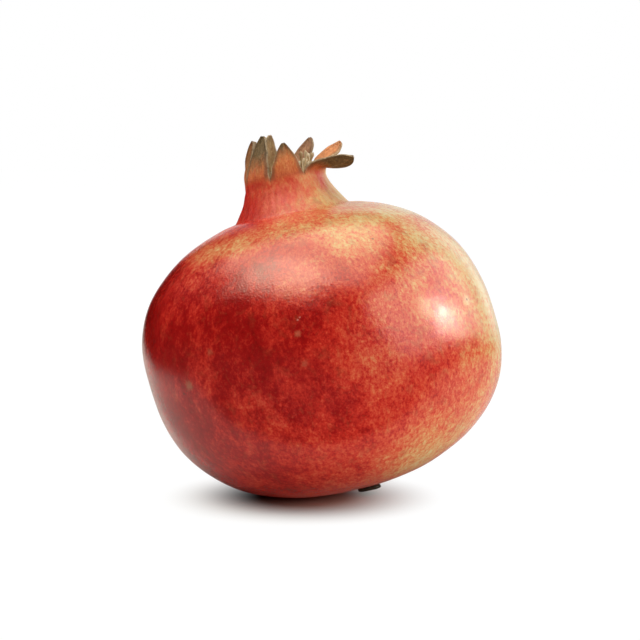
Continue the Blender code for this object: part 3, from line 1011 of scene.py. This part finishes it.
def build_stub():
    """Short woody end of the stem, with a splintered wall and a torn face."""
    bm = bmesh.new()
    shares = [ring / STUB_RINGS for ring in range(1, STUB_RINGS + 1)]
    outline = [(share, -1.0) for share in shares]
    outline += [(1.0, -1.0 + 2.0 * row / STUB_WALL_ROWS) for row in range(1, STUB_WALL_ROWS)]
    outline += [(share, 1.0) for share in reversed(shares)]
    loops = []
    for share, height in outline:
        turns = [2.0 * math.pi * side / STUB_SIDES for side in range(STUB_SIDES)]
        loops.append([bm.verts.new(stub_point(turn, share, height)) for turn in turns])
    for low, high in zip(loops, loops[1:]):
        for side in range(STUB_SIDES):
            after = (side + 1) % STUB_SIDES
            bm.faces.new((low[side], low[after], high[after], high[side]))
    for loop, height in ((loops[0], -1.0), (loops[-1], 1.0)):
        middle = bm.verts.new(stub_point(0.0, 0.0, height))
        for side in range(STUB_SIDES):
            bm.faces.new((middle, loop[side], loop[(side + 1) % STUB_SIDES]))
    bmesh.ops.recalc_face_normals(bm, faces=bm.faces)
    local = [vert.co * 1000.0 for vert in bm.verts]
    matrix = FRUIT_AXIS @ Matrix.Translation(stub_centre())
    bmesh.ops.transform(bm, matrix=matrix, verts=bm.verts)
    mesh = bpy.data.meshes.new("stem_end")
    bm.to_mesh(mesh)
    bm.free()
    set_attribute(mesh, "place", "FLOAT_VECTOR", local)
    mesh.shade_smooth()
    return mesh


WOOD_TONES = ((0.0, (0.008, 0.006, 0.004)), (0.5, (0.030, 0.022, 0.012)), (1.0, (0.11, 0.08, 0.045)))


def stub_material():
    """Dark, weathered wood."""
    g = Graph("dark_wood")
    place = g.attribute("place", "Vector")
    stretched = g.nodes.new("ShaderNodeMapping")
    g.put(stretched.inputs["Vector"], place)
    stretched.inputs["Scale"].default_value = (1.0, 1.0, 0.25)
    fibre = g.noise(stretched.outputs["Vector"], 3.2, 4.0, 0.65)
    crumb = g.noise(place, 1.4, 3.0, 0.6)
    colour = g.ramp(g.total(0.45, (fibre, 1.0), (crumb, 0.6)), WOOD_TONES)
    g.put(g.shader.inputs["Base Color"], colour)
    g.put(g.shader.inputs["Roughness"], g.total(0.78, (crumb, 0.2)))
    g.put(g.shader.inputs["Normal"], g.bump(fibre, 0.00025))
    return g.material


# Camera: a pixel of the photo at the fruit, and the aim in such pixels from the fruit's middle
PIXEL = 0.00028
VIEW_DISTANCE = 0.62
VIEW_ELEVATION = math.radians(7.0)
FRAME_SIZE = 640
SENSOR = 36.0
AIM_RIGHT = -1.0
AIM_UP = 28.5


def add_camera():
    """Camera at the photo's angle, aimed so that the fruit fills the frame as in the photo."""
    data = bpy.data.cameras.new("camera")
    camera = bpy.data.objects.new("camera", data)
    bpy.context.scene.collection.objects.link(camera)
    forward = Vector((0.0, math.cos(VIEW_ELEVATION), -math.sin(VIEW_ELEVATION)))
    right = Vector((1.0, 0.0, 0.0))
    up = right.cross(forward)
    target = CENTRE + right * (AIM_RIGHT * PIXEL) + up * (AIM_UP * PIXEL)
    camera.location = target - forward * VIEW_DISTANCE
    camera.rotation_euler = (math.pi / 2.0 - VIEW_ELEVATION, 0.0, 0.0)
    data.sensor_width = SENSOR
    data.lens = VIEW_DISTANCE * SENSOR / (FRAME_SIZE * PIXEL)
    data.clip_start = 0.01
    data.clip_end = 20.0
    bpy.context.scene.camera = camera


# Floor that the camera sees: it glows white beyond the shadow, and has a shadow painted dark where the
# fruit touches it
FLOOR_REACH = 1.6
FLOOR_TINT = (0.62, 0.60, 0.49)
FLOOR_CENTRE = (0.0030, -0.013)
FLOOR_FADE = (0.011, 0.041)
PAINTED_SHADOW_CENTRE = (-0.0015, -0.0050)
PAINTED_SHADOW_FADE = (0.009, 0.026)
PAINTED_SHADOW_TINT = (0.02, 0.04, 0.03)

# Floor that only throws light back onto the fruit, with shade painted on it darker under the fruit
BOUNCE_TINT = (0.96, 0.94, 0.88)
BOUNCE_SHADE_FADE = (0.030, 0.075)
BOUNCE_PAINTED_SHADE = 0.50
BOUNCE_DROP = 0.0002

# Board that only the fruit's gloss shows
BOARD_TINT = (0.64, 0.62, 0.55)
BOARD_LOW = (-0.140, -0.055)
BOARD_HIGH = (0.40, 0.60)
BOARD_DROP = 0.0001

PAPER_GRAIN = 60.0
PAPER_SHADE = 0.985
PAPER_ROUGHNESS = 0.9
PAPER_SHEEN = 0.1
BLACK = (0.0, 0.0, 0.0)


def floor_material(name, tint, burns=False, painted_shade_near=False):
    """Matt pale paper with a faint grain; the seen floor has a painted shadow where the fruit touches it
    and burns out to white round the shadow, and the bounce floor has shade painted on it under the fruit.
    """
    g = Graph(name)
    spot = g.nodes.new("ShaderNodeTexCoord").outputs["Object"]
    shade = tuple(PAPER_SHADE * part for part in tint)
    colour = g.ramp(g.noise(spot, PAPER_GRAIN, 3.0), ((0.3, shade), (0.7, tint)))
    g.shader.inputs["Roughness"].default_value = PAPER_ROUGHNESS
    g.shader.inputs["Specular IOR Level"].default_value = PAPER_SHEEN
    away = g.distance(spot, (*FLOOR_CENTRE, 0.0))
    if painted_shade_near:
        # Painted shade: the bounce floor's colour darkens towards black under the fruit
        colour = g.mix(g.span(away, *BOUNCE_SHADE_FADE, BOUNCE_PAINTED_SHADE, 0.0), colour, BLACK)
    if burns:
        # Painted contact shadow: the floor's colour goes to near black round a point just under the fruit
        painted_shadow_away = g.distance(spot, (*PAINTED_SHADOW_CENTRE, 0.0))
        colour = g.mix(g.span(painted_shadow_away, *PAINTED_SHADOW_FADE, 1.0, 0.0), colour, PAINTED_SHADOW_TINT)
        burnt = g.span(away, *FLOOR_FADE)
        colour = g.mix(burnt, colour, BLACK)
        g.shader.inputs["Emission Color"].default_value = (1.0, 1.0, 1.0, 1.0)
        g.put(g.shader.inputs["Emission Strength"], burnt)
    g.put(g.shader.inputs["Base Color"], colour)
    return g.material


def add_sheet(name, low, high, height, material):
    """A flat piece of the floor."""
    bm = bmesh.new()
    corners = ((low[0], low[1]), (high[0], low[1]), (high[0], high[1]), (low[0], high[1]))
    bm.faces.new([bm.verts.new((x, y, height)) for x, y in corners])
    mesh = bpy.data.meshes.new(name)
    bm.to_mesh(mesh)
    bm.free()
    mesh.materials.append(material)
    thing = bpy.data.objects.new(name, mesh)
    bpy.context.scene.collection.objects.link(thing)
    return thing


def add_floor():
    """A floor that the camera sees, one that only lights the fruit and a board that only gloss shows."""
    wide = ((-FLOOR_REACH, -FLOOR_REACH), (FLOOR_REACH, FLOOR_REACH))
    paper = floor_material("pale_floor", FLOOR_TINT, burns=True)
    floor = add_sheet("floor", *wide, 0.0, paper)
    floor.visible_glossy = False
    floor.visible_diffuse = False
    floor.visible_shadow = False
    paper = floor_material("pale_bounce", BOUNCE_TINT, painted_shade_near=True)
    bounce = add_sheet("bounce", *wide, -BOUNCE_DROP, paper)
    bounce.visible_camera = False
    bounce.visible_glossy = False
    bounce.visible_shadow = False
    paper = floor_material("pale_board", BOARD_TINT)
    board = add_sheet("board", BOARD_LOW, BOARD_HIGH, -BOARD_DROP, paper)
    board.visible_camera = False
    board.visible_diffuse = False
    board.visible_shadow = False


# Lamps
WHITE = (1.0, 1.0, 1.0)
SOFT_WHITE = (1.0, 0.95, 0.86)
WARM = (1.0, 0.88, 0.66)

# Each one's name, azimuth, elevation, distance, width, height, radiance, colour, and what it lights
LAMPS = (
    ("key", -58.0, 74.0, 0.90, 0.74, 0.62, 3.0, WHITE, "diffuse"),
    ("side", -112.0, 40.0, 0.95, 0.60, 0.50, 1.6, WHITE, "diffuse"),
    ("key_sheen", -49.0, 62.5, 0.89, 0.84, 0.46, 4.4, WARM, "gloss"),
    ("ceiling_sheen", -80.0, 84.0, 0.88, 1.15, 1.10, 3.8, WARM, "gloss"),
    ("top", 40.0, 78.0, 1.00, 1.10, 0.90, 1.10, WHITE, "diffuse"),
    ("front", 46.0, 6.0, 1.00, 0.80, 0.60, 2.0, WHITE, "diffuse"),
    ("window", 88.0, 12.0, 0.80, 0.80, 0.34, 1.4, WHITE, "diffuse"),
    ("window_sheen", 82.0, 28.0, 0.79, 1.08, 0.53, 3.0, SOFT_WHITE, "gloss"),
    ("bulb", 89.5, 17.8, 0.78, 0.075, 0.12, 40.0, SOFT_WHITE, "gloss"),
    ("backdrop", 165.0, 10.0, 1.20, 1.20, 1.00, 0.8, WHITE, "all"),
    ("back_right", 132.0, 22.0, 1.00, 0.80, 0.80, 0.8, WHITE, "all"),
    ("back_left", -140.0, 34.0, 1.00, 0.80, 0.60, 2.2, WHITE, "diffuse"),
    ("low_right", 64.0, -34.0, 0.60, 0.50, 0.40, 1.4, WHITE, "diffuse"),
    ("low_left", -84.0, -36.0, 0.60, 0.50, 0.40, 0.8, WHITE, "diffuse"),
)
WORLD_SEEN = 1.0
WORLD_FILL = 0.10


def add_lamp(name, azimuth, elevation, distance, width, height, radiance, colour, lights):
    """A soft rectangular lamp that faces the fruit."""
    data = bpy.data.lights.new(name, "AREA")
    data.shape = "RECTANGLE"
    data.size = width
    data.size_y = height
    data.energy = radiance * math.pi * width * height
    data.color = colour
    lamp = bpy.data.objects.new(name, data)
    bpy.context.scene.collection.objects.link(lamp)
    away = direction(azimuth, elevation)
    lamp.location = CENTRE + away * distance
    lamp.rotation_euler = away.to_track_quat("Z", "Y").to_euler()
    lamp.visible_camera = False
    lamp.visible_glossy = lights != "diffuse"
    lamp.visible_diffuse = lights != "gloss"


def add_world():
    """White behind everything that the camera sees, and a faint fill elsewhere."""
    world = bpy.data.worlds.new("studio")
    bpy.context.scene.world = world
    world.use_nodes = True
    nodes = world.node_tree.nodes
    links = world.node_tree.links
    backdrop = nodes["Background"]
    backdrop.inputs["Color"].default_value = (*WHITE, 1.0)
    path = nodes.new("ShaderNodeLightPath")
    seen = nodes.new("ShaderNodeMath")
    seen.operation = "MULTIPLY"
    seen.inputs[1].default_value = WORLD_SEEN
    links.new(path.outputs["Is Camera Ray"], seen.inputs[0])
    level = nodes.new("ShaderNodeMath")
    level.operation = "MULTIPLY_ADD"
    links.new(path.outputs["Is Diffuse Ray"], level.inputs[0])
    level.inputs[1].default_value = WORLD_FILL
    links.new(seen.outputs["Value"], level.inputs[2])
    links.new(level.outputs["Value"], backdrop.inputs["Strength"])


def main():
    """Dress the fruit and set up the studio."""
    add_camera()
    add_piece("pomegranate_skin", build_skin(), skin_material(), "fruit")
    add_piece("stamen_tuft", build_tuft(), tuft_material(), "stamens")
    add_piece("stem_end", build_stub(), stub_material(), "stem_stub")
    add_floor()
    add_world()
    for lamp in LAMPS:
        add_lamp(*lamp)
    bpy.context.scene.view_settings.view_transform = "Standard"


main()
